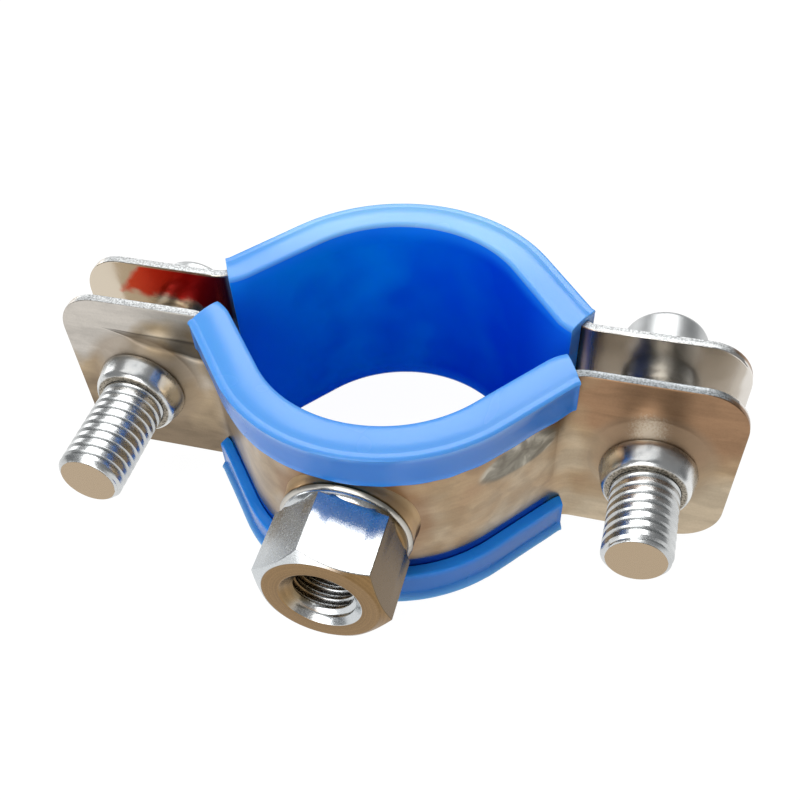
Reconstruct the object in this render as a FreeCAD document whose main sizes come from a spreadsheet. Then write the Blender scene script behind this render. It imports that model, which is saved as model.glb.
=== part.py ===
import FreeCAD, Part
import math
import os

import Sketcher

# Rubber lined pipe clamp: two stamped stainless half-bands with rubber liners,
# drawn together round a pipe by two cap screws, with a threaded nut welded on the front.
# Z runs along the pipe, X along the ears and Y along the screws.
# The origin is the axis of the pipe as it sits in the front half, half way up the band.

os.makedirs("parts", exist_ok=True)
doc = FreeCAD.newDocument("pipe_clamp")
Vector = FreeCAD.Vector

# Driving sizes in millimetres and degrees
SIZES = {
    # pipe and half-band
    "pipe_diameter": 31.8,
    "sheet_thickness": 1.2,
    "band_width": 25.0,
    "arc_half_angle": 51.0,
    "fold_radius": 3.3,
    "ear_setback": 1.75,
    "ear_flat": 18.1,
    "ear_corner": 5.5,
    "opening": 2.9,
    # rubber liner
    "liner_wall": 2.1,
    "edge_cover": 0.9,
    "liner_wrap": 24.0,
    "lip_wall": 1.4,
    "weld_gap": 0.5,
    "arris": 0.4,
    "liner_play": 0.1,
    # screws and the holes that take them
    "screw_diameter": 8.0,
    "screw_length": 28.0,
    "screw_inset": 9.8,
    "tip_chamfer": 0.6,
    "head_diameter": 11.0,
    "head_height": 8.0,
    "crown_chamfer": 0.8,
    "socket_flats": 6.0,
    "socket_depth": 4.0,
    "left_backed_off": 1.6,
    "right_backed_off": 4.9,
    "thread_play": 0.05,
    "clearance_hole": 9.0,
    # drawn collars of the front ears
    "collar_diameter": 11.2,
    "collar_length": 4.5,
    "collar_taper": 0.5,
    "collar_rounding": 1.0,
    "collar_root": 1.6,
    "collar_mouth": 0.8,
    # nut and its weld
    "nut_flats": 14.0,
    "nut_length": 9.4,
    "nut_turn": 15.5,
    "nut_face": 13.3,
    "nut_bore": 6.8,
    "nut_countersink": 9.4,
    "weld_height": 1.6,
    "weld_diameter": 15.8,
    "weld_bore": 9.0,
    "weld_slope": 0.5,
}

# How far a cutting tool runs past what it cuts, and the slope of the nut's chamfers
CUTTER_MARGIN = 0.5
CHAMFER_SLOPE = "tan(30 deg)"

sheet = doc.addObject("Spreadsheet::Sheet", "sizes")
for row, (alias, number) in enumerate(SIZES.items(), 1):
    sheet.set(f"A{row}", alias)
    sheet.set(f"B{row}", str(number))
    sheet.setAlias(f"B{row}", alias)
doc.recompute()

# Sizes that follow from the driving ones, written as expressions over the sheet's cells
HALF_ANGLE = "(sizes.arc_half_angle * 1 deg)"
LINER_END = "(sizes.arc_half_angle * 1 deg - sizes.liner_wrap * 1 deg)"
PIPE_RADIUS = "(sizes.pipe_diameter / 2)"
BAND_RADIUS = f"({PIPE_RADIUS} + sizes.liner_wall)"
BAND_FRONT = f"({BAND_RADIUS} + sizes.sheet_thickness)"
BEND_RADIUS = "(sizes.fold_radius + sizes.sheet_thickness)"
EAR_FRONT = "(sizes.ear_setback + sizes.sheet_thickness)"
ARC_DROP = f"({BAND_RADIUS} * cos({HALF_ANGLE}) - {BEND_RADIUS} * (1 - cos({HALF_ANGLE})))"
STRAIGHT = f"(({ARC_DROP} - sizes.ear_setback) / sin({HALF_ANGLE}))"
BEND_OFFSET = f"(({BAND_RADIUS} + {BEND_RADIUS}) * sin({HALF_ANGLE}) + {STRAIGHT} * cos({HALF_ANGLE}))"
EAR_REACH = f"({BEND_OFFSET} + sizes.ear_flat)"
SCREW_OFFSET = f"({EAR_REACH} - sizes.screw_inset)"
LINER_WIDTH = "(sizes.band_width + 2 * sizes.edge_cover)"
LIP_OUTSIDE = "(sizes.sheet_thickness + sizes.liner_play + sizes.lip_wall)"
LIP_WINDOW = "(sizes.weld_diameter + 2 * sizes.weld_gap)"
NUT_BACK = f"({BAND_FRONT} + sizes.weld_height)"
NUT_CORNER = "(sizes.nut_flats / sqrt(3))"
SOCKET_CORNER = "(sizes.socket_flats / sqrt(3))"
TOUCH = 1e-6


def value(expression):
    """The number that an expression over the sheet's cells comes to."""
    return float(sheet.evalExpression(expression))


half_angle = math.radians(SIZES["arc_half_angle"])
band_radius = value(BAND_RADIUS)
bend_radius = value(BEND_RADIUS)


def bind(thing, **expressions):
    """Tie properties of an object to cells of the sheet; a double underscore stands for a dot."""
    for name, expression in expressions.items():
        thing.setExpression(name.replace("__", "."), expression)


def dimension(sketch, label, expression, *constraint):
    """A named dimension of a sketch that follows an expression; an angle's value is in radians."""
    size = value(expression)
    if constraint[0] == "Angle":
        size = math.radians(size)
    index = sketch.addConstraint(Sketcher.Constraint(*constraint, size))
    sketch.renameConstraint(index, label)
    sketch.setExpression("Constraints." + label, expression)


def mirrored(point):
    return Vector(-point.x, point.y, 0)


def band_line(name, wrap=None):
    """Sketch the pipe side of a half-band in plan: an arc, two straights and two reverse bends.

    The ears follow where no wrap is given; a wrap in degrees ends the line inside its bends."""
    sketch = doc.addObject("Sketcher::SketchObject", name)
    heading = Vector(math.cos(half_angle), math.sin(half_angle), 0)
    outwards = Vector(math.sin(half_angle), -math.cos(half_angle), 0)
    arc_end = outwards * band_radius
    bend_start = arc_end + heading * value(STRAIGHT)
    bend_centre = bend_start + outwards * bend_radius
    up = math.pi / 2
    bend_end = up if wrap is None else up + half_angle - math.radians(wrap)

    def line(start, end):
        return sketch.addGeometry(Part.LineSegment(start, end), False)

    def arc(centre, radius, start, end):
        circle = Part.Circle(centre, Vector(0, 0, 1), radius)
        return sketch.addGeometry(Part.ArcOfCircle(circle, start, end), False)

    def fixed(*constraint):
        sketch.addConstraint(Sketcher.Constraint(*constraint))

    left_straight = line(mirrored(bend_start), mirrored(arc_end))
    left_bend = arc(mirrored(bend_centre), bend_radius, up - half_angle, 2 * up - bend_end)
    seat = arc(Vector(0, 0, 0), band_radius, -up - half_angle, -up + half_angle)
    right_straight = line(arc_end, bend_start)
    right_bend = arc(bend_centre, bend_radius, bend_end, up + half_angle)
    fixed("Tangent", left_bend, 1, left_straight, 1)
    fixed("Tangent", left_straight, 2, seat, 1)
    fixed("Tangent", seat, 2, right_straight, 1)
    fixed("Tangent", right_straight, 2, right_bend, 2)
    fixed("Coincident", seat, 3, -1, 1)
    fixed("Equal", left_bend, right_bend)
    fixed("Equal", left_straight, right_straight)
    dimension(sketch, "seat_radius", BAND_RADIUS, "Radius", seat)
    dimension(sketch, "bend_radius", BEND_RADIUS, "Radius", right_bend)
    dimension(sketch, "arc_half_angle", HALF_ANGLE, "Angle", right_straight)
    if wrap is None:
        ear_corner = bend_centre + Vector(0, bend_radius, 0)
        ear_end = Vector(value(EAR_REACH), ear_corner.y, 0)
        left_ear = line(mirrored(ear_end), mirrored(ear_corner))
        right_ear = line(ear_corner, ear_end)
        fixed("Tangent", left_ear, 2, left_bend, 2)
        fixed("Tangent", right_bend, 1, right_ear, 1)
        fixed("Horizontal", right_ear)
        fixed("Symmetric", left_ear, 1, right_ear, 2, -2)
        dimension(sketch, "ear_flat", "sizes.ear_flat", "DistanceX", right_ear, 1, right_ear, 2)
        dimension(sketch, "ear_setback", "sizes.ear_setback", "DistanceY", right_ear, 2, -1, 1)
    else:
        bend_depth = f"sizes.ear_setback + {BEND_RADIUS}"
        end_depth = f"sizes.ear_setback + {BEND_RADIUS} * (1 - cos({LINER_END}))"
        fixed("Symmetric", left_bend, 2, right_bend, 1, -2)
        dimension(sketch, "bend_depth", bend_depth, "DistanceY", right_bend, 3, -1, 1)
        dimension(sketch, "end_depth", end_depth, "DistanceY", right_bend, 1, -1, 1)
    return sketch


def layer(name, line, start, thickness):
    """The plan face between two offsets of a line; offsets grow away from the pipe."""
    edge = doc.addObject("Part::Offset2D", name + "_edge")
    edge.Source = line
    edge.Mode = "Skin"
    edge.Join = "Arc"
    edge.Fill = False
    bind(edge, Value=start)
    face = doc.addObject("Part::Offset2D", name + "_face")
    face.Source = edge
    face.Mode = "Skin"
    face.Join = "Arc"
    face.Fill = True
    bind(face, Value=thickness)
    return face


def slab(name, face, height):
    """A plan face made solid over a height that is centred on the middle of the band."""
    solid = doc.addObject("Part::Extrusion", name)
    solid.Base = face
    solid.DirMode = "Custom"
    solid.Dir = Vector(0, 0, 1)
    solid.Solid = True
    solid.Symmetric = True
    bind(solid, LengthFwd=height)
    return solid


def cut(name, base, *tools):
    """Base less its tools."""
    result = doc.addObject("Part::Cut", name)
    result.Base = base
    if len(tools) == 1:
        result.Tool = tools[0]
    else:
        tool = doc.addObject("Part::MultiFuse", name + "_tools")
        tool.Shapes = list(tools)
        result.Tool = tool
    return result


def fuse(name, *shapes):
    result = doc.addObject("Part::MultiFuse", name)
    result.Shapes = list(shapes)
    result.Refine = True
    return result


def eased(name, base, size, chosen, kind="Part::Chamfer"):
    """Base with the edges that the test picks chamfered, or rounded where the kind is a fillet."""
    doc.recompute()
    result = doc.addObject(kind, name)
    result.Base = base
    edges = enumerate(base.Shape.Edges, 1)
    result.Edges = [(index, SIZES[size], SIZES[size]) for index, edge in edges if chosen(edge)]
    return result


def along_y(name, radius, front, back, x_place="0"):
    """A cylinder parallel to the screws, from a front plane to a back plane, both given as y."""
    pin = doc.addObject("Part::Cylinder", name)
    pin.Placement = FreeCAD.Placement(Vector(0, 0, 0), FreeCAD.Rotation(Vector(1, 0, 0), -90))
    bind(pin, Radius=radius, Height=f"({back}) - ({front})")
    bind(pin, Placement__Base__x=x_place, Placement__Base__y=front)
    return pin


def own_sketch(body, role, name):
    """A sketch on one of the body's own origin planes."""
    plane = [feature for feature in body.Origin.OriginFeatures if feature.Role == role][0]
    sketch = body.newObject("Sketcher::SketchObject", name)
    sketch.AttachmentSupport = [(plane, "")]
    sketch.MapMode = "FlatFace"
    return sketch


def closed_loop(sketch, corners):
    """Straight sides from corner to corner, joined end to end; returns the index of each side."""
    sides = []
    for start, end in zip(corners, corners[1:] + corners[:1]):
        sides.append(sketch.addGeometry(Part.LineSegment(start, end), False))
    for side, following in zip(sides, sides[1:] + sides[:1]):
        sketch.addConstraint(Sketcher.Constraint("Coincident", side, 2, following, 1))
    return sides


def outline(sketch, label, corners):
    """A closed outline whose corners are given as pairs of expressions."""
    sides = closed_loop(sketch, [Vector(value(x), value(y), 0) for x, y in corners])
    for number, (side, (x, y)) in enumerate(zip(sides, corners), 1):
        dimension(sketch, f"{label}_{number}_x", x, "DistanceX", -1, 1, side, 1)
        dimension(sketch, f"{label}_{number}_y", y, "DistanceY", -1, 1, side, 1)


def regular_hexagon(sketch, corner_radius):
    """A hexagon round the sketch's origin with a corner on its first axis."""
    radius = value(corner_radius)
    angles = [math.radians(60 * step) for step in range(6)]
    sides = closed_loop(sketch, [Vector(radius * math.cos(a), radius * math.sin(a), 0) for a in angles])
    guide = sketch.addGeometry(Part.Circle(Vector(0, 0, 0), Vector(0, 0, 1), radius), True)
    sketch.addConstraint(Sketcher.Constraint("Coincident", guide, 3, -1, 1))
    for side in sides:
        sketch.addConstraint(Sketcher.Constraint("PointOnObject", side, 1, guide))
    for side in sides[1:]:
        sketch.addConstraint(Sketcher.Constraint("Equal", sides[0], side))
    sketch.addConstraint(Sketcher.Constraint("PointOnObject", sides[0], 1, -1))
    dimension(sketch, "corner_radius", corner_radius, "Radius", guide)


def full_turn(body, kind, name, sketch):
    """A revolved feature of the body, all the way round the sketch's upright axis."""
    feature = body.newObject(kind, name)
    feature.Profile = sketch
    feature.ReferenceAxis = (sketch, ["V_Axis"])
    feature.Angle = 360
    return feature


# Half-band blank: one strip of sheet, bent to its arc, straights and ears
band_sketch = band_line("band_line")


def half_band(name):
    """The bent strip with the corners of its ears rounded."""
    sheet_face = layer(name, band_sketch, "0 mm", "sizes.sheet_thickness")
    strip = slab(name + "_strip", sheet_face, "sizes.band_width")
    reach = value(EAR_REACH)

    def ear_corner_edge(edge):
        across_sheet = abs(edge.Length - SIZES["sheet_thickness"]) < TOUCH
        return across_sheet and abs(abs(edge.CenterOfMass.x) - reach) < TOUCH

    return eased(name + "_blank", strip, "ear_corner", ear_corner_edge, "Part::Fillet")


def drawn_collar(name, side):
    """A collar drawn out of the ear, tapering to a rounded rim."""
    collar = doc.addObject("Part::Cone", name + "_wall")
    collar.Placement = FreeCAD.Placement(Vector(0, 0, 0), FreeCAD.Rotation(Vector(1, 0, 0), 90))
    bind(collar, Radius1="sizes.collar_diameter / 2")
    bind(collar, Radius2="sizes.collar_diameter / 2 - sizes.collar_taper")
    bind(collar, Height="sizes.collar_length")
    bind(collar, Placement__Base__x=f"{side} * {SCREW_OFFSET}", Placement__Base__y=f"-{EAR_FRONT}")
    rim = -value(EAR_FRONT) - SIZES["collar_length"]

    def rim_edge(edge):
        return edge.Closed and abs(edge.CenterOfMass.y - rim) < TOUCH

    return eased(name, collar, "collar_rounding", rim_edge, "Part::Fillet")


def front_band():
    """The front stamping: ears with collars drawn towards the front and bored for the thread."""
    blank = half_band("front")
    collars = [drawn_collar("left_collar", -1), drawn_collar("right_collar", 1)]
    joined = fuse("front_stamping", blank, *collars)
    root = -value(EAR_FRONT)
    mouth = -SIZES["ear_setback"]

    def root_edge(edge):
        return edge.Closed and abs(edge.CenterOfMass.y - root) < TOUCH

    flared = eased("front_flared", joined, "collar_root", root_edge)
    bores = []
    for label, side in (("left_thread", -1), ("right_thread", 1)):
        radius = "sizes.screw_diameter / 2 + sizes.thread_play"
        front = f"-{EAR_FRONT} - sizes.collar_length - {CUTTER_MARGIN}"
        bores.append(along_y(label, radius, front, "0", f"{side} * {SCREW_OFFSET}"))
    bored = cut("front_bored", flared, *bores)

    def mouth_edge(edge):
        return edge.Closed and abs(edge.CenterOfMass.y - mouth) < TOUCH

    band = eased("front_band", bored, "collar_mouth", mouth_edge)
    band.Label = "front_band"
    return band


def rear_band():
    """The rear stamping: the same blank with plain clearance holes."""
    blank = half_band("rear")
    holes = []
    for label, side in (("left_hole", -1), ("right_hole", 1)):
        front = f"-{EAR_FRONT} - {CUTTER_MARGIN}"
        holes.append(along_y(label, "sizes.clearance_hole / 2", front, "0", f"{side} * {SCREW_OFFSET}"))
    band = cut("rear_band", blank, *holes)
    band.Label = "rear_band"
    return band


liner_sketch = band_line("liner_line", SIZES["liner_wrap"])


def liner(name):
    """A moulded channel: a wall inside the band that wraps both of its edges with a lip outside."""
    play = "sizes.liner_play"
    thickness = f"sizes.liner_wall + {LIP_OUTSIDE}"
    body_face = layer(name + "_body", liner_sketch, "-sizes.liner_wall", thickness)
    body = slab(name + "_body", body_face, LINER_WIDTH)
    channel_face = layer(name + "_channel", band_sketch, f"-{play}", f"sizes.sheet_thickness + 2 * {play}")
    channel = slab(name + "_channel", channel_face, f"sizes.band_width + 2 * {play}")
    window_depth = f"sizes.lip_wall + {CUTTER_MARGIN}"
    window_face = layer(name + "_window", band_sketch, "sizes.sheet_thickness", window_depth)
    window = slab(name + "_window", window_face, LIP_WINDOW)
    plain = cut(name + "_plain", body, channel, window)
    top = value(LINER_WIDTH) / 2
    lip_edge = value(LIP_WINDOW) / 2
    outer_radius = band_radius + value(LIP_OUTSIDE)
    inner_radius = value(PIPE_RADIUS)

    def long_edge(edge):
        """The arrises round the seat; the chamfer follows them along the straights by itself."""
        if not isinstance(edge.Curve, Part.Circle) or abs(edge.Curve.Center.x) > TOUCH:
            return False
        height = abs(edge.CenterOfMass.z)
        on_outside = abs(edge.Curve.Radius - outer_radius) < TOUCH
        on_inside = abs(edge.Curve.Radius - inner_radius) < TOUCH
        at_top = abs(height - top) < TOUCH
        return (at_top and (on_outside or on_inside)) or (on_outside and abs(height - lip_edge) < TOUCH)

    moulding = eased(name, plain, "arris", long_edge)
    moulding.Label = name
    return moulding


def nut():
    """The hexagon nut, chamfered at both ends, bored for its thread and countersunk in front."""
    body = doc.addObject("PartDesign::Body", "mounting_nut")
    hexagon = own_sketch(body, "XZ_Plane", "nut_hexagon")
    regular_hexagon(hexagon, NUT_CORNER)
    prism = body.newObject("PartDesign::Pad", "nut_prism")
    prism.Profile = hexagon
    bind(prism, Length="sizes.nut_length")

    # Two cones take the corners off the prism, one from each of its end faces
    corners_off = own_sketch(body, "XY_Plane", "nut_corners")
    over = f"{NUT_CORNER} + {CUTTER_MARGIN}"
    fall = f"({over} - sizes.nut_face / 2) * {CHAMFER_SLOPE}"
    face = "sizes.nut_face / 2"
    front = "-sizes.nut_length"
    outline(corners_off, "front", [(face, front), (over, front), (over, f"{front} + {fall}")])
    outline(corners_off, "back", [(face, "0"), (over, "0"), (over, f"-{fall}")])
    full_turn(body, "PartDesign::Groove", "nut_chamfers", corners_off)

    bore = own_sketch(body, "XY_Plane", "nut_bore")
    thread = "sizes.nut_bore / 2"
    sink = "(sizes.nut_countersink - sizes.nut_bore) / 2"
    mouth = "sizes.nut_countersink / 2"
    sink_end = (thread, f"{sink} - sizes.nut_length")
    outline(bore, "bore", [("0", "0"), (thread, "0"), sink_end, (mouth, front), ("0", front)])
    body.Tip = full_turn(body, "PartDesign::Groove", "nut_hollow", bore)
    body.Label = "mounting_nut"
    turn = FreeCAD.Rotation(Vector(0, 1, 0), SIZES["nut_turn"])
    body.Placement = FreeCAD.Placement(Vector(0, 0, 0), turn)
    bind(body, Placement__Base__y=f"-{NUT_BACK}", Placement__Rotation__Angle="sizes.nut_turn * 1 deg")
    return body


def weld():
    """The weld metal between the round band and the flat back of the nut."""
    disc = along_y("weld_disc", "sizes.weld_diameter / 2", f"-{NUT_BACK}", f"-{BAND_RADIUS} / 2")
    front = -value(NUT_BACK)

    def front_edge(edge):
        return edge.Closed and abs(edge.CenterOfMass.y - front) < TOUCH

    puddle = eased("weld_puddle", disc, "weld_slope", front_edge)
    bore = along_y("weld_bore", "sizes.weld_bore / 2", f"-{NUT_BACK} - {CUTTER_MARGIN}", "0")
    band = doc.addObject("Part::Cylinder", "weld_band")
    bind(band, Radius=BAND_FRONT, Height="sizes.band_width", Placement__Base__z="-sizes.band_width / 2")
    bead = cut("nut_weld", puddle, bore, band)
    bead.Label = "nut_weld"
    return bead


def screw(name, side, backed_off):
    """A socket head cap screw, turned in one profile, with its hexagon socket cut in."""
    body = doc.addObject("PartDesign::Body", name)
    profile = own_sketch(body, "XY_Plane", name + "_profile")
    shank = "sizes.screw_diameter / 2"
    head = "sizes.head_diameter / 2"
    tip = "-sizes.screw_length"
    end = "sizes.head_height"
    corners = [
        ("0", tip),
        (f"{shank} - sizes.tip_chamfer", tip),
        (shank, f"{tip} + sizes.tip_chamfer"),
        (shank, "0"),
        (head, "0"),
        (head, end),
        ("0", end),
    ]
    outline(profile, "turned", corners)
    turned = full_turn(body, "PartDesign::Revolution", name + "_turned", profile)
    doc.recompute()

    def crown_edge(edge):
        return edge.Closed and abs(edge.CenterOfMass.y - SIZES["head_height"]) < TOUCH

    picked = [f"Edge{i}" for i, edge in enumerate(turned.Shape.Edges, 1) if crown_edge(edge)]
    crown = body.newObject("PartDesign::Chamfer", name + "_crown")
    crown.Base = (turned, picked)
    bind(crown, Size="sizes.crown_chamfer")

    socket = own_sketch(body, "XZ_Plane", name + "_socket")
    bind(socket, AttachmentOffset__Base__z="-sizes.head_height")
    regular_hexagon(socket, SOCKET_CORNER)
    recess = body.newObject("PartDesign::Pocket", name + "_recess")
    recess.Profile = socket
    recess.Reversed = True
    bind(recess, Length="sizes.socket_depth")
    body.Tip = recess
    body.Label = name
    seat = f"sizes.opening + {EAR_FRONT} + sizes.{backed_off}"
    bind(body, Placement__Base__x=f"{side} * {SCREW_OFFSET}", Placement__Base__y=seat)
    return body


# Rear half: the same shapes turned about the pipe and backed off by the opening
half_turn = FreeCAD.Rotation(Vector(0, 0, 1), 180)
front_parts = [front_band(), liner("front_liner"), nut(), weld()]
rear_parts = [rear_band(), liner("rear_liner")]
for rear_part in rear_parts:
    rear_part.Placement = FreeCAD.Placement(Vector(0, 0, 0), half_turn)
    bind(rear_part, Placement__Base__y="sizes.opening")
screws = [screw("left_screw", -1, "left_backed_off"), screw("right_screw", 1, "right_backed_off")]
doc.recompute()

for thing in doc.Objects:
    if "Invalid" in thing.State or "Error" in thing.State:
        raise RuntimeError(f"{thing.Name} failed: {thing.State}")
for piece in front_parts + rear_parts + screws:
    shape = piece.Shape
    if shape.isNull() or not shape.isValid() or len(shape.Solids) != 1:
        raise RuntimeError(f"{piece.Label} isn't one valid solid")
    shape.exportStep(f"parts/{piece.Label}.step")
    print(piece.Label, round(shape.Volume, 1), "mm3", len(shape.Faces), "faces", shape.BoundBox)
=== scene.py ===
from math import ceil, cos, floor, pi, radians, sin, sqrt, tan

import bmesh
import bpy
from mathutils import Matrix, Vector, noise


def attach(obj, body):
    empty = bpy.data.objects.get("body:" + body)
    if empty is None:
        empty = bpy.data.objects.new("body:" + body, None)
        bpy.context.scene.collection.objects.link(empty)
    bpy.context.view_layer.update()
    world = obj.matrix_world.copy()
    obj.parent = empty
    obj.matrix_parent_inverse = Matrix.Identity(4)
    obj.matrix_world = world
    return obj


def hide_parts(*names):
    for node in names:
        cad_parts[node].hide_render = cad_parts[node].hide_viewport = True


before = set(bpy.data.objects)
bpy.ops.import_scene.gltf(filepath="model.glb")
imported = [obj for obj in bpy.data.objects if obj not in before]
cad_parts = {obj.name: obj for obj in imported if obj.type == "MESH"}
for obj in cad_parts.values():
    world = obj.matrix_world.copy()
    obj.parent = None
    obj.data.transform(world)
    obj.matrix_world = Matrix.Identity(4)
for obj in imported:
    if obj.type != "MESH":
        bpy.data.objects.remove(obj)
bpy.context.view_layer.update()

MM = 0.001
TURN = 2 * pi

# Sizes in millimetres, the same as the solids'.
PIPE_SIDE = 18.0            # radius of the band's pipe side
SHEET = 1.2
ARC_HALF_ANGLE = radians(51.0)
STRAIGHT = 10.178
BEND_OUT = 4.5              # radius of a reverse bend on the band's pipe side
REAR_SHIFT = 2.9            # the rear half's arc lies this far behind the front half's
SCREW_OUT = 32.191          # the screws' distance from the middle
PITCH = 1.25                # M8 coarse thread
LINER_TOP = 13.4            # half of a liner's height
LIP_END = 8.4               # half of the window between a liner's lips


# ---------------------------------------------------------------- meshes

def solid_from(name, points, faces, materials, body, stands_for, crease, finishes=()):
    """A piece made of points in millimetres, shaded smooth but for edges sharper than crease
    degrees. finishes gives the number of each face's material, where there is more than one."""
    mesh = bpy.data.meshes.new(name)
    mesh.from_pydata([(x * MM, y * MM, z * MM) for x, y, z in points], [], faces)
    piece = bpy.data.objects.new(name, mesh)
    bpy.context.scene.collection.objects.link(piece)
    for face, finish in zip(mesh.polygons, finishes):
        face.material_index = finish
    weld_points(mesh)
    for face in mesh.polygons:
        face.use_smooth = True
    mesh.set_sharp_from_angle(angle=radians(crease))
    for material in materials:
        mesh.materials.append(material)
    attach(piece, body)
    if stands_for:
        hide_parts(stands_for)
    return piece


def weld_points(mesh):
    """Joins points that lie on each other and turns every face outwards."""
    shape = bmesh.new()
    shape.from_mesh(mesh)
    bmesh.ops.remove_doubles(shape, verts=shape.verts, dist=0.002 * MM)
    bmesh.ops.recalc_face_normals(shape, faces=shape.faces)
    shape.to_mesh(mesh)
    shape.free()


def break_edges(piece, name, width, segments, sharper_than):
    """Rounds the edges sharper than so many degrees, over a width in millimetres."""
    bevel = piece.modifiers.new(name, "BEVEL")
    bevel.width = width * MM
    bevel.segments = segments
    bevel.limit_method = "ANGLE"
    bevel.angle_limit = radians(sharper_than)


def around(columns, climb=0):
    """Faces between profiles that stand round an axis. A thread climbs by that many rows each
    turn."""
    rows = len(columns[0])
    points = [point for column in columns for point in column]
    faces = []
    for i in range(len(columns)):
        after = (i + 1) % len(columns)
        step = climb if after == 0 else 0
        for j in range(rows - 1 - step):
            faces.append((i * rows + j, i * rows + j + 1,
                          after * rows + j + 1 + step, after * rows + j + step))
    return points, faces


def merged(*parts):
    """Several lists of points and faces as one."""
    points, faces = [], []
    for more_points, more_faces in parts:
        start = len(points)
        points += more_points
        faces += [tuple(start + i for i in face) for face in more_faces]
    return points, faces


def ripple(place, size, seed):
    """Smooth noise between about -1 and 1 whose waves are size millimetres long."""
    x, y, z = place
    return noise.noise(Vector((x / size + seed, y / size - seed, z / size + 2 * seed)))


def hexagon_radius(angle, flats, flat_at):
    """Distance from the middle to the side of a hexagon, flats across, one flat facing flat_at."""
    sixth = pi / 3
    off = (angle - flat_at + sixth / 2) % sixth - sixth / 2
    return flats / 2 / cos(off)


# ---------------------------------------------------------------- materials

def srgb(colour):
    """An sRGB hex colour as linear red, green, blue and alpha."""
    parts = [int(colour[i:i + 2], 16) / 255 for i in (1, 3, 5)]
    return [c / 12.92 if c <= 0.04045 else ((c + 0.055) / 1.055) ** 2.4 for c in parts] + [1.0]


def add(tree, kind, inputs=(), stops=(), **settings):
    """Adds a node with its settings, ramp stops and inputs. An input is a value, a socket or a
    node, which stands for its first output in use. Inputs by number: a MapRange has its value at
    0, the range that it comes from at 1 and 2, and the range that it goes to at 3 and 4. A Mix
    has its factor at 0, its vectors at 4 and 5, and its colours at 6 and 7."""
    node = tree.nodes.new("ShaderNode" + kind)
    for name, value in settings.items():
        setattr(node, name, value)
    if stops:
        ramp = node.color_ramp.elements
        while len(ramp) < len(stops):
            ramp.new(1.0)
        for element, (place, colour) in zip(ramp, stops):
            element.position = place
            element.color = srgb(colour) if isinstance(colour, str) else (colour,) * 3 + (1.0,)
    for name, value in dict(inputs).items():
        if isinstance(value, bpy.types.Node):
            value = next(socket for socket in value.outputs if socket.enabled)
        if isinstance(value, bpy.types.NodeSocket):
            tree.links.new(value, node.inputs[name])
        else:
            node.inputs[name].default_value = value
    return node


TIMES = {"operation": "MULTIPLY"}
PLUS = {"operation": "ADD"}
TIMES_PLUS = {"operation": "MULTIPLY_ADD"}
LARGER = {"operation": "MAXIMUM"}
SIZE_OF = {"operation": "ABSOLUTE"}
LENGTH = {"operation": "LENGTH"}
DISTANCE = {"operation": "DISTANCE"}
SOFT = {"interpolation_type": "SMOOTHSTEP"}
OVER = {"data_type": "RGBA"}
DARKEN = {"data_type": "RGBA", "blend_type": "MULTIPLY"}


def new_material(name):
    """A material, its empty tree, and its object coordinates in millimetres."""
    material = bpy.data.materials.new(name)
    material.use_nodes = True
    tree = material.node_tree
    tree.nodes.clear()
    place = add(tree, "TexCoord").outputs["Object"]
    return material, tree, add(tree, "VectorMath", {0: place, 1: (1 / MM,) * 3}, **TIMES)


def shaded(material, inputs):
    """Gives the material its principled shader with these inputs."""
    tree = material.node_tree
    add(tree, "OutputMaterial", {"Surface": add(tree, "BsdfPrincipled", inputs)})
    return material


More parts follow.
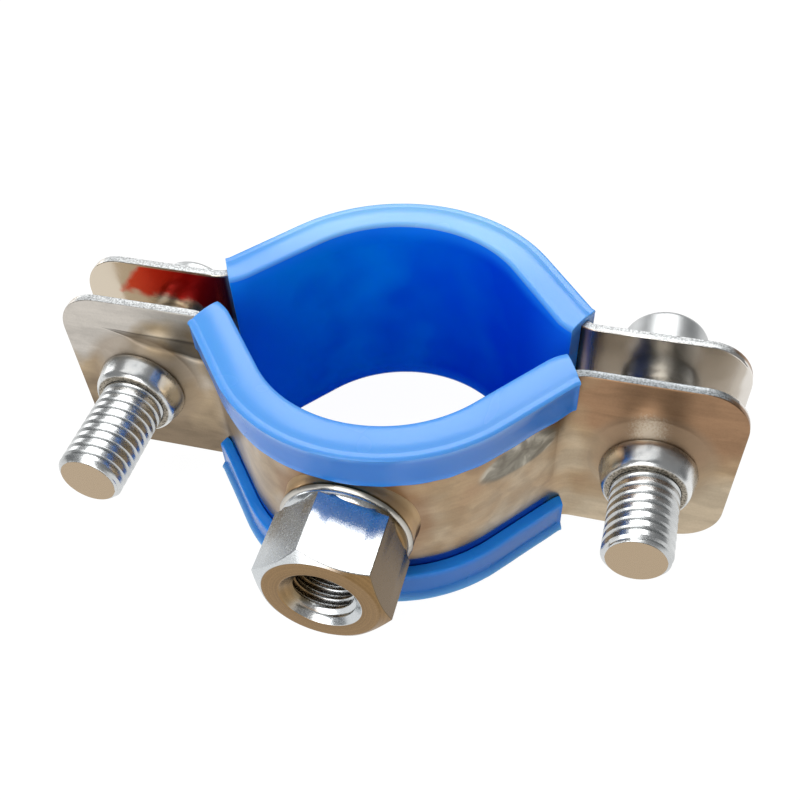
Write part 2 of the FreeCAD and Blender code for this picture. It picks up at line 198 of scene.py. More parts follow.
def polished_304_sheet(name, with_red_patch):
    """Polished 304 stainless sheet: cold rolled and buffed, so it mirrors its surroundings through
    long rolling lines and fine grit. Its colour carries painted reflections: warmer on the right,
    brown in two corners and pale in the others, greyer round the collar roots, a dark wedge and a
    grey patch on the front, and blue beside the lower lip. A painted highlight lies over the right
    collar, and the faces into the gap between the ears are painted brighter. The band is brown
    round the nut's weld, and the sheared edges are grey and matt, painted darker on the front
    right. The red-patched sheet has a soft-edged red patch on the inner face of its left ear,
    painted darker towards the liner."""
    material, tree, place = new_material(name)
    x, y, z = add(tree, "SeparateXYZ", {0: place}).outputs
    sideways = add(tree, "Math", {0: x}, **SIZE_OF)
    normal = add(tree, "NewGeometry").outputs["Normal"]
    # Painted reflection: the base colour is warmer on the right, brown in two corners and pale in
    # the others.
    clouds = add(tree, "TexNoise", {"Vector": place, "Scale": 1 / 7.0, "Detail": 2.0,
                                    "Roughness": 0.5})
    corner = add(tree, "Math", {0: x, 1: z}, **TIMES)
    toned = add(tree, "Math", {0: corner, 1: -0.0009, 2: clouds}, **TIMES_PLUS)
    warm_brown_reflection = add(tree, "ValToRGB", {0: toned},
               stops=[(0.26, "#96765A"), (0.50, "#A68E70"), (0.74, "#B8A890")])
    grey = add(tree, "ValToRGB", {0: toned},
               stops=[(0.26, "#80705C"), (0.50, "#A8957A"), (0.72, "#C0BAB2")])
    side = add(tree, "MapRange", {0: x, 1: -22.0, 2: 4.0}, **SOFT)
    tone = add(tree, "Mix", {0: side, 6: grey, 7: warm_brown_reflection}, **OVER)

    # Rolling lines run along the strip, 0.4 mm apart, and grit of 0.2 mm lies over them.
    drawn = add(tree, "VectorMath", {0: place, 1: (0.10, 0.10, 1.0)}, **TIMES)
    lines = add(tree, "TexNoise", {"Vector": drawn, "Scale": 1 / 0.4, "Detail": 2.0})
    grit = add(tree, "TexNoise", {"Vector": place, "Scale": 1 / 0.22, "Detail": 2.0,
                                  "Roughness": 0.6})
    half_grit = add(tree, "Math", {0: grit, 1: 0.5}, **TIMES)
    mixed = add(tree, "Math", {0: lines, 1: 0.5, 2: half_grit}, **TIMES_PLUS)
    speck = add(tree, "MapRange", {0: mixed, 1: 0.36, 2: 0.64, 3: 0.93, 4: 1.05})
    speckled = add(tree, "Mix", {0: 1.0, 6: tone, 7: speck}, **DARKEN)

    # Buffing streaks, 2.5 mm wide and three times as long.
    wiped = add(tree, "VectorMath", {0: place, 1: (0.35, 1.0, 1.0)}, **TIMES)
    smears = add(tree, "TexNoise", {"Vector": wiped, "Scale": 1 / 2.5, "Detail": 3.0,
                                    "Distortion": 0.6})
    smear = add(tree, "MapRange", {0: smears, 1: 0.36, 2: 0.62, 3: 0.89, 4: 1.07}, **SOFT)
    plain = add(tree, "Mix", {0: 1.0, 6: speckled, 7: smear}, **DARKEN)

    # Painted reflection, spreading on the front from the left bend: a thin dark line, a painted
    # shade and a bright lower edge.
    open_by = add(tree, "MapRange", {0: x, 1: -36.6, 2: -24.6, 3: 0.05, 4: 3.3})
    down = add(tree, "Math", {0: 7.9, 1: z}, operation="SUBTRACT")
    uneven = add(tree, "Math", {0: clouds, 1: 0.5, 2: down}, **TIMES_PLUS)
    across = add(tree, "Math", {0: uneven, 1: open_by}, operation="DIVIDE")
    wedge_reflection = add(tree, "ValToRGB", {0: add(tree, "MapRange", {0: across, 1: -0.5, 2: 2.0})},
              stops=[(0.17, 1.0), (0.22, 0.26), (0.28, 0.54), (0.44, 0.38), (0.52, 0.22),
                     (0.60, 1.6), (0.66, 1.0)])
    ends = add(tree, "ValToRGB", {0: add(tree, "MapRange", {0: x, 1: -38.0, 2: -22.0})},
               stops=[(0.06, 0.0), (0.22, 1.0), (0.90, 1.0), (1.0, 0.0)])
    front_face = add(tree, "MapRange", {0: y, 1: -2.80, 2: -2.90}, **SOFT)
    wedge_reflection_mask = add(tree, "Math", {0: ends, 1: front_face}, **TIMES)
    with_wedge_reflection = add(tree, "Mix", {0: wedge_reflection_mask, 6: plain, 7: wedge_reflection}, **DARKEN)

    # Painted reflection: a grey patch on the front of the right straight.
    patch_x = add(tree, "Math", {0: x, 1: 0.27, 2: -4.80}, **TIMES_PLUS)
    patch_z = add(tree, "Math", {0: z, 1: 0.42, 2: -1.75}, **TIMES_PLUS)
    patch_at = add(tree, "CombineXYZ", {0: patch_x, 2: patch_z})
    patch_out = add(tree, "VectorMath", {0: patch_at}, **LENGTH)
    ragged = add(tree, "Math", {0: clouds, 1: 0.7, 2: patch_out}, **TIMES_PLUS)
    grey_reflection_spot = add(tree, "MapRange", {0: ragged, 1: 1.25, 2: 1.50, 3: 0.75, 4: 0.0}, **SOFT)
    in_front = add(tree, "MapRange", {0: y, 1: -2.0, 2: -4.0}, **SOFT)
    patch = add(tree, "Math", {0: grey_reflection_spot, 1: in_front}, **TIMES)
    reflected_greys = add(tree, "ValToRGB", {0: smears},
                 stops=[(0.38, "#5C5E58"), (0.52, "#80827A"), (0.62, "#BCBAAE")])
    with_grey_reflection = add(tree, "Mix", {0: patch, 6: with_wedge_reflection, 7: reflected_greys}, **OVER)

    # Painted reflection: round a collar's root the colour is greyer, and the stretched sheet there
    # is duller.
    beside = add(tree, "Math", {0: sideways, 1: -SCREW_OUT}, **PLUS)
    on_ear = add(tree, "CombineXYZ", {0: beside, 2: z})
    from_screw = add(tree, "VectorMath", {0: on_ear}, **LENGTH)
    root = add(tree, "MapRange", {0: from_screw, 1: 6.9, 2: 8.8, 3: 1.0, 4: 0.0}, **SOFT)
    stretched = add(tree, "Math", {0: root, 1: front_face}, **TIMES)
    greyed = add(tree, "Math", {0: stretched, 1: 0.5}, **TIMES)
    with_grey_root_reflection = add(tree, "Mix", {0: greyed, 6: with_grey_reflection, 7: srgb("#9A8872")}, **OVER)

    # Painted highlight: the top of the swelling over the right collar is painted pale.
    from_painted_highlight = add(tree, "VectorMath", {0: on_ear, 1: (-0.8, 0.0, 5.9)}, **DISTANCE)
    speckled_catch = add(tree, "Math", {0: grit, 1: 3.2, 2: from_painted_highlight}, **TIMES_PLUS)
    painted_highlight = add(tree, "MapRange", {0: speckled_catch, 1: 1.9, 2: 4.2, 3: 0.75, 4: 0.0},
                      **SOFT)
    on_right = add(tree, "Math", {0: front_face, 1: side}, **TIMES)
    painted_highlight_mask = add(tree, "Math", {0: painted_highlight, 1: on_right}, **TIMES)
    with_painted_highlight = add(tree, "Mix", {0: painted_highlight_mask, 6: with_grey_root_reflection, 7: srgb("#C4B8A6")}, **OVER)

    # Painted light: the faces that look into the gap between the ears are painted brighter.
    from_gap = add(tree, "Math", {0: y, 1: -REAR_SHIFT / 2}, **PLUS)
    off_gap = add(tree, "Math", {0: from_gap}, **SIZE_OF)
    near_gap = add(tree, "MapRange", {0: off_gap, 1: 3.5, 2: 3.9, 3: 1.0, 4: 0.0}, **SOFT)
    past_bend = add(tree, "MapRange", {0: sideways, 1: 22.0, 2: 25.0}, **SOFT)
    gap_face = add(tree, "Math", {0: near_gap, 1: past_bend}, **TIMES)
    gap_painted_light = add(tree, "Mix", {0: side, 6: srgb("#CEC2B0"), 7: srgb("#DCD7D0")}, **OVER)
    bright = add(tree, "Mix", {0: gap_face, 6: with_painted_highlight, 7: gap_painted_light}, **OVER)

    # Painted reflection: beside the lower lip the steel is painted the lip's blue.
    beside_lip = add(tree, "MapRange", {0: z, 1: -7.4, 2: -6.8, 3: 0.8, 4: 0.0}, **SOFT)
    off_ear = add(tree, "MapRange", {0: sideways, 1: 20.2, 2: 21.4, 3: 1.0, 4: 0.0}, **SOFT)
    blue_reflection_mask = add(tree, "Math", {0: beside_lip, 1: off_ear}, **TIMES)
    with_blue_reflection = add(tree, "Mix", {0: blue_reflection_mask, 6: bright, 7: srgb("#4A7CCC")}, **OVER)

    # Brown round the nut's weld, on the band's front.
    from_nut = add(tree, "VectorMath", {0: add(tree, "CombineXYZ", {0: x, 2: z})}, **LENGTH)
    wander = add(tree, "TexNoise", {"Vector": place, "Scale": 1 / 3.0, "Detail": 1.0})
    ring = add(tree, "Math", {0: wander, 1: 3.0, 2: from_nut}, **TIMES_PLUS)
    near_nut = add(tree, "MapRange", {0: ring, 1: 9.5, 2: 12.3, 3: 0.55, 4: 0.0}, **SOFT)
    foremost = add(tree, "MapRange", {0: y, 1: -17.2, 2: -16.0, 3: 1.0, 4: 0.0}, **SOFT)
    brown_near_weld = add(tree, "Math", {0: near_nut, 1: foremost}, **TIMES)
    with_brown_near_weld = add(tree, "Mix", {0: brown_near_weld, 6: with_blue_reflection, 7: srgb("#7C5230")}, **OVER)

    # The sheared edges face up and down. They are grey and matt, and painted darker on the front
    # right, a painted shade.
    upright = add(tree, "Math", {0: add(tree, "SeparateXYZ", {0: normal}).outputs["Z"]}, **SIZE_OF)
    sheared = add(tree, "MapRange", {0: upright, 1: 0.80, 2: 0.95}, **SOFT)
    height = add(tree, "Math", {0: z}, **SIZE_OF)
    off_collar = add(tree, "MapRange", {0: height, 1: 11.5, 2: 12.0}, **SOFT)
    cut_edge = add(tree, "Math", {0: sheared, 1: off_collar}, **TIMES)
    forward_half = add(tree, "MapRange", {0: y, 1: 1.0, 2: 0.0})
    painted_shade_front_right = add(tree, "Math", {0: side, 1: forward_half}, **TIMES)
    edge_tone = add(tree, "Mix", {0: painted_shade_front_right, 6: srgb("#D6D8D8"), 7: srgb("#A0A4A6")}, **OVER)
    torn = add(tree, "MapRange", {0: grit, 1: 0.35, 2: 0.60, 3: 0.45, 4: 1.0})
    edge = add(tree, "Mix", {0: 1.0, 6: edge_tone, 7: torn}, **DARKEN)
    colour = add(tree, "Mix", {0: cut_edge, 6: with_brown_near_weld, 7: edge}, **OVER)

    rough = add(tree, "MapRange", {0: clouds, 1: 0.3, 2: 0.7, 3: 0.28, 4: 0.36})
    for where, rougher in ((stretched, 0.12), (gap_face, -0.18), (blue_reflection_mask, -0.16),
                           (cut_edge, 0.30)):
        rough = add(tree, "Math", {0: where, 1: rougher, 2: rough}, **TIMES_PLUS)
    metal = 1.0

    if with_red_patch:
        # A soft-edged red patch on the inner face of the left ear.
        blots = add(tree, "TexNoise", {"Vector": place, "Scale": 1 / 2.5, "Detail": 2.0})
        slanted = add(tree, "Math", {0: z, 1: -0.83, 2: x}, **TIMES_PLUS)
        ragged_left = add(tree, "Math", {0: blots, 1: 1.8, 2: slanted}, **TIMES_PLUS)
        dips = add(tree, "MapRange", {0: x, 1: -27.5, 2: -24.5, 3: 0.0, 4: 2.6}, **SOFT)
        dipped = add(tree, "Math", {0: z, 1: dips}, **PLUS)
        ragged_low = add(tree, "Math", {0: blots, 1: 2.4, 2: dipped}, **TIMES_PLUS)
        mark = 1.0
        for along, outside, inside in ((ragged_left, -43.6, -42.4), (x, -20.6, -21.8),
                                       (ragged_low, 8.4, 9.6), (y, 5.2, 4.9), (z, 12.4, 12.1)):
            within = add(tree, "MapRange", {0: along, 1: outside, 2: inside}, **SOFT)
            mark = add(tree, "Math", {0: mark, 1: within}, **TIMES)
        # The red is painted darker towards the liner, a painted reflection of its dark blue.
        red = add(tree, "ValToRGB", {0: add(tree, "MapRange", {0: x, 1: -36.0, 2: -22.0})},
                  stops=[(0.0, "#DC4820"), (0.30, "#D02808"), (0.58, "#BC0402"),
                         (0.80, "#8C0818"), (1.0, "#2C0820")])
        colour = add(tree, "Mix", {0: mark, 6: colour, 7: red}, **OVER)
        metal = add(tree, "Math", {0: mark, 1: -0.35, 2: 1.0}, **TIMES_PLUS)

    # A collar's root swells so gently that it is shaded nearly as flat as the ear.
    flatter = add(tree, "Math", {0: stretched, 1: 0.78}, **TIMES)
    swell = add(tree, "Mix", {0: flatter, 4: normal, 5: (0.0, -1.0, 0.0)}, data_type="VECTOR")
    level = add(tree, "VectorMath", {0: swell}, operation="NORMALIZE")
    wave = add(tree, "TexNoise", {"Vector": place, "Scale": 1 / 5.0, "Detail": 1.0})
    soft = add(tree, "Bump", {"Height": wave, "Strength": 0.25, "Distance": 0.35 * MM,
                              "Normal": level})
    fine = add(tree, "Bump", {"Height": mixed, "Strength": 0.22, "Distance": 0.02 * MM,
                              "Normal": soft})
    return shaded(material, {"Base Color": colour, "Metallic": metal, "Roughness": rough,
                             "Normal": fine})


def turned_nut_steel():
    """Drawn 304 hexagon bar with a turned end, grainy drawn flats and a turned face. Its colour
    carries painted reflections: the flats are silver but taupe where they face right, and the
    turned face is tan."""
    material, tree, place = new_material("drawn_and_turned_304_stainless_bar")
    facing = add(tree, "SeparateXYZ", {0: add(tree, "NewGeometry").outputs["Normal"]}).outputs
    clouds = add(tree, "TexNoise", {"Vector": place, "Scale": 1 / 4.0, "Detail": 2.0})
    # Painted reflection: flats that face right are taupe.
    rightward_reflection = add(tree, "Math", {0: clouds, 1: 0.30, 2: facing["X"]}, **TIMES_PLUS)
    tone = add(tree, "ValToRGB", {0: rightward_reflection},
               stops=[(0.0, "#CCD0D2"), (0.52, "#D8D8D6"), (0.76, "#94866C"), (0.96, "#6C583C")])
    # Painted reflection: the turned face, which looks to the front, is tan.
    leaning = add(tree, "Math", {0: facing["X"], 1: -0.3, 2: facing["Y"]}, **TIMES_PLUS)
    turned = add(tree, "MapRange", {0: leaning, 1: -0.84, 2: -0.95}, **SOFT)
    face_tan_reflection = add(tree, "Mix", {0: turned, 6: tone, 7: srgb("#8A6E4A")}, **OVER)
    grain = add(tree, "TexNoise", {"Vector": place, "Scale": 1 / 0.24, "Detail": 3.0,
                                   "Roughness": 0.65})
    speck = add(tree, "MapRange", {0: grain, 1: 0.32, 2: 0.68, 3: 0.90, 4: 1.06})
    speckled = add(tree, "Mix", {0: 1.0, 6: face_tan_reflection, 7: speck}, **DARKEN)

    # Turning rings on the face, 0.3 mm apart.
    at = add(tree, "SeparateXYZ", {0: place}).outputs
    across = add(tree, "CombineXYZ", {0: at["X"], 2: at["Z"]})
    out = add(tree, "VectorMath", {0: across}, **LENGTH)
    rings = add(tree, "TexNoise", {"W": out, "Scale": 1 / 0.3, "Detail": 1.0},
                noise_dimensions="1D")
    ringed = add(tree, "MapRange", {0: rings, 1: 0.35, 2: 0.65, 3: 0.88, 4: 1.10})
    colour = add(tree, "Mix", {0: turned, 6: speckled, 7: ringed}, **DARKEN)
    rough = add(tree, "MapRange", {0: grain, 1: 0.3, 2: 0.7, 3: 0.16, 4: 0.30})
    bump = add(tree, "Bump", {"Height": grain, "Strength": 0.22, "Distance": 0.02 * MM})
    return shaded(material, {"Base Color": colour, "Metallic": 1.0, "Roughness": rough,
                             "Normal": bump})


def weld_metal():
    """Resistance weld upset: a pale squeezed ring, a dark oxide line at its root, then tan like
    the sheet with a brown spot on one side."""
    material, tree, place = new_material("resistance_welded_304_stainless")
    y = add(tree, "SeparateXYZ", {0: place}).outputs["Y"]
    spots = add(tree, "TexNoise", {"Vector": place, "Scale": 1 / 1.6, "Detail": 3.0,
                                   "Roughness": 0.6})
    depth = add(tree, "Math", {0: spots, 1: 0.16, 2: y}, **TIMES_PLUS)
    tone = add(tree, "ValToRGB", {0: add(tree, "MapRange", {0: depth, 1: -20.82, 2: -18.82})},
               stops=[(0.0, "#DCDAD4"), (0.14, "#C0BCB4"), (0.24, "#A8A49A"), (0.31, "#3A2A18"),
                      (0.37, "#5A4428"), (0.45, "#C0A078"), (1.0, "#D0B48C")])
    # A brown spot on one side.
    from_spot = add(tree, "VectorMath", {0: place, 1: (7.7, -18.6, -2.2)}, **DISTANCE)
    uneven = add(tree, "Math", {0: spots, 1: 1.6, 2: from_spot}, **TIMES_PLUS)
    brown_spot = add(tree, "MapRange", {0: uneven, 1: 2.6, 2: 3.6, 3: 0.95, 4: 0.0}, **SOFT)
    brown_spotted = add(tree, "Mix", {0: brown_spot, 6: tone, 7: srgb("#4A2E12")}, **OVER)
    squeezed = add(tree, "MapRange", {0: spots, 1: 0.3, 2: 0.7, 3: 0.38, 4: 0.24})
    behind_seam = add(tree, "MapRange", {0: y, 1: -20.1, 2: -19.9, 3: 0.0, 4: 0.2})
    rough = add(tree, "Math", {0: squeezed, 1: behind_seam}, **PLUS)
    bump = add(tree, "Bump", {"Height": spots, "Strength": 0.3, "Distance": 0.08 * MM})
    return shaded(material, {"Base Color": brown_spotted, "Metallic": 1.0, "Roughness": rough,
                             "Normal": bump})


def reamed_collar_steel():
    """Drawn and reamed 304 stainless: the burnished cone of a collar, bright silver with cloudy
    tool marks, and its torn grainy rim."""
    material, tree, place = new_material("drawn_and_reamed_304_stainless")
    clouds = add(tree, "TexNoise", {"Vector": place, "Scale": 1 / 2.2, "Detail": 2.0,
                                    "Roughness": 0.55})
    tone = add(tree, "ValToRGB", {0: clouds},
               stops=[(0.34, "#B8BABA"), (0.48, "#D6D8D8"), (0.66, "#E2E2E0")])
    grain = add(tree, "TexNoise", {"Vector": place, "Scale": 1 / 0.25, "Detail": 2.0,
                                   "Roughness": 0.6})
    facing = add(tree, "SeparateXYZ", {0: add(tree, "NewGeometry").outputs["Normal"]}).outputs
    rim = add(tree, "MapRange", {0: facing["Y"], 1: -0.80, 2: -0.95}, **SOFT)
    torn = add(tree, "ValToRGB", {0: grain}, stops=[(0.38, "#605A50"), (0.58, "#B0A89A")])
    both = add(tree, "Mix", {0: rim, 6: tone, 7: torn}, **OVER)
    burnished = add(tree, "MapRange", {0: clouds, 1: 0.3, 2: 0.7, 3: 0.30, 4: 0.20})
    rough = add(tree, "Math", {0: rim, 1: 0.25, 2: burnished}, **TIMES_PLUS)
    dented = add(tree, "Bump", {"Height": clouds, "Strength": 0.3, "Distance": 0.10 * MM})
    return shaded(material, {"Base Color": both, "Metallic": 1.0, "Roughness": rough,
                             "Normal": dented})


def rolled_screw_steel():
    """Cold formed A2 stainless: rolled thread and headed crown, silver with a fine satin grain
    that is duller behind the rear ears. The sawn tip's face is painted beige, a painted
    reflection."""
    material, tree, place = new_material("cold_formed_a2_stainless")
    clouds = add(tree, "TexNoise", {"Vector": place, "Scale": 1 / 5.0, "Detail": 2.0})
    tone = add(tree, "ValToRGB", {0: clouds},
               stops=[(0.35, "#BEC0C0"), (0.55, "#CACCCC"), (0.70, "#D4D6D6")])
    facing = add(tree, "SeparateXYZ", {0: add(tree, "NewGeometry").outputs["Normal"]}).outputs
    # Painted reflection: the tip's face, which looks to the front, is beige.
    tip = add(tree, "MapRange", {0: facing["Y"], 1: -0.90, 2: -0.97}, **SOFT)
    tip_beige_reflection = add(tree, "Mix", {0: tip, 6: tone, 7: srgb("#B09C82")}, **OVER)
    grain = add(tree, "TexNoise", {"Vector": place, "Scale": 1 / 0.18, "Detail": 3.0,
                                   "Roughness": 0.6})
    satin = add(tree, "MapRange", {0: grain, 1: 0.3, 2: 0.7, 3: 0.22, 4: 0.34})
    y = add(tree, "SeparateXYZ", {0: place}).outputs["Y"]
    headed = add(tree, "MapRange", {0: y, 1: 7.0, 2: 7.4, 3: 0.0, 4: 0.12})
    rough = add(tree, "Math", {0: satin, 1: headed}, **PLUS)
    bump = add(tree, "Bump", {"Height": grain, "Strength": 0.2, "Distance": 0.02 * MM})
    return shaded(material, {"Base Color": tip_beige_reflection, "Metallic": 1.0, "Roughness": rough,
                             "Normal": bump})


def extruded_silicone(name, tones, rims, rim_width, lit_ends, lit_lips, shine, along):
    """Blue silicone rubber, extruded: a skin with a faint wave, glossy outside and matt where it
    was drawn over the mandrel. Its rims, thin ends and lips are painted paler than its wall, as
    painted sheen and light shining through them; the rims over rim_width millimetres. lit_ends
    and lit_lips say how far its ends and lips are painted lit. The tone also drifts along the
    direction given, by so much for each millimetre."""
    material, tree, place = new_material(name)
    x, y, z = add(tree, "SeparateXYZ", {0: place}).outputs
    sideways = add(tree, "Math", {0: x}, **SIZE_OF)
    height = add(tree, "Math", {0: z}, **SIZE_OF)
    clouds = add(tree, "TexNoise", {"Vector": place, "Scale": 1 / 8.0, "Detail": 1.0})
    drift = add(tree, "VectorMath", {0: place, 1: along}, operation="DOT_PRODUCT")
    toned = add(tree, "Math", {0: clouds, 1: 0.6, 2: drift}, **TIMES_PLUS)
    tone = add(tree, "ValToRGB", {0: toned}, stops=list(zip((0.05, 0.30, 0.55), tones)))

    # Painted light: the rims are painted palest underneath and at the back, less so at the right
    # end, a painted sheen.
    to_left = add(tree, "MapRange", {0: x, 1: 6.0, 2: 20.0, 3: 0.75, 4: 0.1}, **SOFT)
    to_back = add(tree, "MapRange", {0: y, 1: 8.0, 2: 17.0}, **SOFT)
    behind = add(tree, "Math", {0: to_back, 1: to_left}, **TIMES)
    beneath = add(tree, "MapRange", {0: z, 1: -12.2, 2: -11.4, 3: 0.8, 4: 0.0}, **SOFT)
    palest = add(tree, "Math", {0: behind, 1: beneath}, **PLUS)
    rim_painted_sheen = add(tree, "Mix", {0: palest, 6: srgb(rims[0]), 7: srgb(rims[1])}, **OVER)
    rim = LINER_TOP - 0.2
    at_rim = add(tree, "MapRange", {0: height, 1: rim - rim_width, 2: rim, 3: 0.0, 4: 0.9}, **SOFT)
    # Painted light: the ends are painted paler as well.
    at_end = add(tree, "MapRange", {0: sideways, 1: 14.0, 2: 22.0, 3: 0.0, 4: lit_ends}, **SOFT)
    painted_pale_rims_and_ends = add(tree, "Math", {0: at_rim, 1: at_end}, **LARGER)
    # Painted light: the lips are painted a paler blue, as light shining through them.
    at_lip = add(tree, "MapRange", {0: height, 1: LIP_END - 0.1, 2: LIP_END + 1.4, 3: lit_lips,
                                    4: 0.0}, **SOFT)
    lips_painted_lit = add(tree, "Mix", {0: at_lip, 6: tone, 7: srgb("#2492F8")}, **OVER)
    paler = add(tree, "Mix", {0: painted_pale_rims_and_ends, 6: lips_painted_lit, 7: rim_painted_sheen}, **OVER)
    rough = add(tree, "MapRange", {0: clouds, 1: 0.3, 2: 0.7, 3: 0.18, 4: 0.28})
    wave = add(tree, "TexNoise", {"Vector": place, "Scale": 1 / 3.0, "Detail": 1.0})
    skin = add(tree, "Bump", {"Height": wave, "Strength": 0.15, "Distance": 0.15 * MM})
    return shaded(material, {"Base Color": paler, "Roughness": rough, "Normal": skin,
                             "IOR": 1.46, "Specular IOR Level": shine,
                             "Subsurface Weight": 0.20, "Subsurface Scale": 0.9 * MM,
                             "Subsurface Radius": (0.1, 0.4, 1.0)})


sheet_steel = polished_304_sheet("polished_304_stainless_sheet", False)
marked_steel = polished_304_sheet("polished_304_stainless_sheet_red_marked", True)
nut_steel = turned_nut_steel()
weld_steel = weld_metal()
collar_steel = reamed_collar_steel()
screw_steel = rolled_screw_steel()
rubber = extruded_silicone(
    "extruded_blue_silicone_rubber", tones=("#0470CC", "#2878D2", "#4884D6"),
    rims=("#5AA6F6", "#8CCCFA"), rim_width=1.4, lit_ends=0.0, lit_lips=0.85, shine=0.42,
    along=(0.0, 0.0, 0.02))
pipe_side_rubber = extruded_silicone(
    "matt_extruded_blue_silicone_rubber", tones=("#004CE0", "#0068E4", "#0092F4"),
    rims=("#1C88FC", "#1C88FC"), rim_width=2.6, lit_ends=0.6, lit_lips=0.0, shine=0.0,
    along=(-0.020, 0.0, 0.0))


# ---------------------------------------------------------------- cap screws

def thread_rows(low, high, columns, form):
    """Profiles of a right-hand thread on its axis, one a column, between low and high, each the
    height and the radius of an end. form gives (part of a pitch, radius) pairs; a point past an
    end goes to that end."""
    made = []
    first = floor(low[0] / PITCH) - 2
    last = ceil(high[0] / PITCH) + 2
    for i in range(columns):
        angle = TURN * i / columns
        column = []
        for turn in range(first, last):
            for part, radius in form:
                height = PITCH * (turn + part + angle / TURN)
                if height <= low[0]:
                    height, radius = low
                elif height >= high[0]:
                    height, radius = high
                column.append((height, radius, angle))
        made.append(column)
    return made


# Outside thread from crest to crest: flat crest, 60 degree flanks, rounded root.
SCREW_THREAD = [(0.0, 3.99), (0.28, 3.98), (0.40, 3.78), (0.49, 3.60), (0.58, 3.60),
                (0.67, 3.78), (0.79, 3.98)]
SCREW_LENGTH = 28.0
CORE_RADIUS, TIP_RADIUS, NECK_RADIUS = 3.4, 3.26, 3.9
HEAD_RADIUS, HEAD_HEIGHT, CROWN = 5.5, 8.0, 1.2
SOCKET_FLATS, SOCKET_DEPTH, SOCKET_MOUTH = 6.0, 4.0, 3.85


def cap_screw(name, side, underside, body):
    """Socket head cap screw pointing to the front: side is its x, underside the y under its
    head."""
    tip = underside - SCREW_LENGTH
    shank_columns, head_columns, crown_steps = 72, 96, 6

    def at(height, radius, angle):
        return (side + radius * sin(angle), height, radius * cos(angle))

    shank = []
    for column in thread_rows((tip, TIP_RADIUS), (underside - 0.02, NECK_RADIUS),
                              shank_columns, SCREW_THREAD):
        profile = []
        for height, radius, angle in column:
            if height > tip:
                radius = min(radius, CORE_RADIUS + (height - tip))
            profile.append(at(height, radius, angle))
        shank.append(profile)
    threaded = around(shank, climb=len(SCREW_THREAD))
    tip_face = around([[at(tip, CORE_RADIUS, TURN * i / shank_columns), at(tip, 0.0, 0.0)]
                       for i in range(shank_columns)])

    head = []
    for i in range(head_columns):
        angle = TURN * i / head_columns
        socket = hexagon_radius(angle, SOCKET_FLATS, 0.0)
        profile = [(0.0, CORE_RADIUS), (0.0, HEAD_RADIUS - 0.2), (0.2, HEAD_RADIUS)]
        for k in range(crown_steps + 1):
            bend = pi / 2 * k / crown_steps
            profile.append((HEAD_HEIGHT - CROWN + CROWN * sin(bend),
                            HEAD_RADIUS - CROWN + CROWN * cos(bend)))
        floor_at = HEAD_HEIGHT - SOCKET_DEPTH
        profile += [(HEAD_HEIGHT, SOCKET_MOUTH), (HEAD_HEIGHT - 0.35, socket),
                    (floor_at, socket), (floor_at - 1.0, 0.0)]
        head.append([at(underside + height, radius, angle) for height, radius in profile])
    points, faces = merged(threaded, tip_face, around(head))
    solid_from(name + "_turned", points, faces, [screw_steel], body, name, 32.0)


cap_screw("left_screw", -SCREW_OUT, 7.45, "left_screw")
cap_screw("right_screw", SCREW_OUT, 10.75, "right_screw")


# ---------------------------------------------------------------- welded nut

NUT_TURN = radians(15.5)
NUT_FLATS, NUT_FLAT_AT = 14.0, radians(14.5)
NUT_FRONT, NUT_BACK = -30.2, -20.8
NUT_FACE = 6.65                          # radius where the chamfer meets the front face
CHAMFER_SLOPE = tan(radians(60.0))       # radius gained for each mm back from the face
COUNTERSINK = 4.7                        # radius at the front face
NUT_COLUMNS, WELD_COLUMNS = 96, 144

# Inside thread from one groove to the next.
NUT_THREAD = [(0.05, 4.02), (0.20, 3.72), (0.36, 3.40), (0.64, 3.40), (0.80, 3.72), (0.95, 4.02)]


def nut_at(height, radius, angle):
    """A point round the nut's axis. Its height is its y."""
    return (radius * cos(angle), height, radius * sin(angle))


def mounting_nut():
    """Hexagon nut with chamfered corners, a countersink and a cut thread, on a low round seat."""
    shell = []
    for i in range(NUT_COLUMNS):
        angle = TURN * i / NUT_COLUMNS - NUT_TURN
        side = hexagon_radius(angle, NUT_FLATS, NUT_FLAT_AT)
        drop = (side - NUT_FACE) / CHAMFER_SLOPE
        profile = [(NUT_FRONT + 0.5, 4.2), (NUT_FRONT, COUNTERSINK), (NUT_FRONT, NUT_FACE),
                   (NUT_FRONT + drop, side), (NUT_BACK - 0.75, side),
                   (NUT_BACK - 0.30, min(side, 7.35)), (NUT_BACK - 0.30, 6.0)]
        shell.append([nut_at(height, radius, angle) for height, radius in profile])
    seat_profile = [(NUT_BACK - 0.80, 6.6), (NUT_BACK - 0.78, 7.02), (NUT_BACK - 0.68, 7.18),
                    (NUT_BACK - 0.40, 7.40), (NUT_BACK - 0.22, 7.47), (NUT_BACK + 0.02, 7.48),
                    (NUT_BACK + 0.02, 4.1)]
    seat = [[nut_at(height, radius, TURN * i / NUT_COLUMNS) for height, radius in seat_profile]
            for i in range(NUT_COLUMNS)]
    bore = []
    mouth = NUT_FRONT + 0.05
    for column in thread_rows((mouth, 4.65), (NUT_BACK, 4.1), NUT_COLUMNS, NUT_THREAD):
        profile = []
        for height, radius, angle in column:
            radius = max(radius, COUNTERSINK - (height - NUT_FRONT))
            profile.append((-radius * sin(angle), height, radius * cos(angle)))
        bore.append(profile)
    points, faces = merged(around(shell), around(seat), around(bore, climb=len(NUT_THREAD)))
    piece = solid_from("mounting_nut_milled", points, faces, [nut_steel], "front_half",
                       "mounting_nut", 25.0)
    break_edges(piece, "broken_edges", 0.10, 2, 24.0)


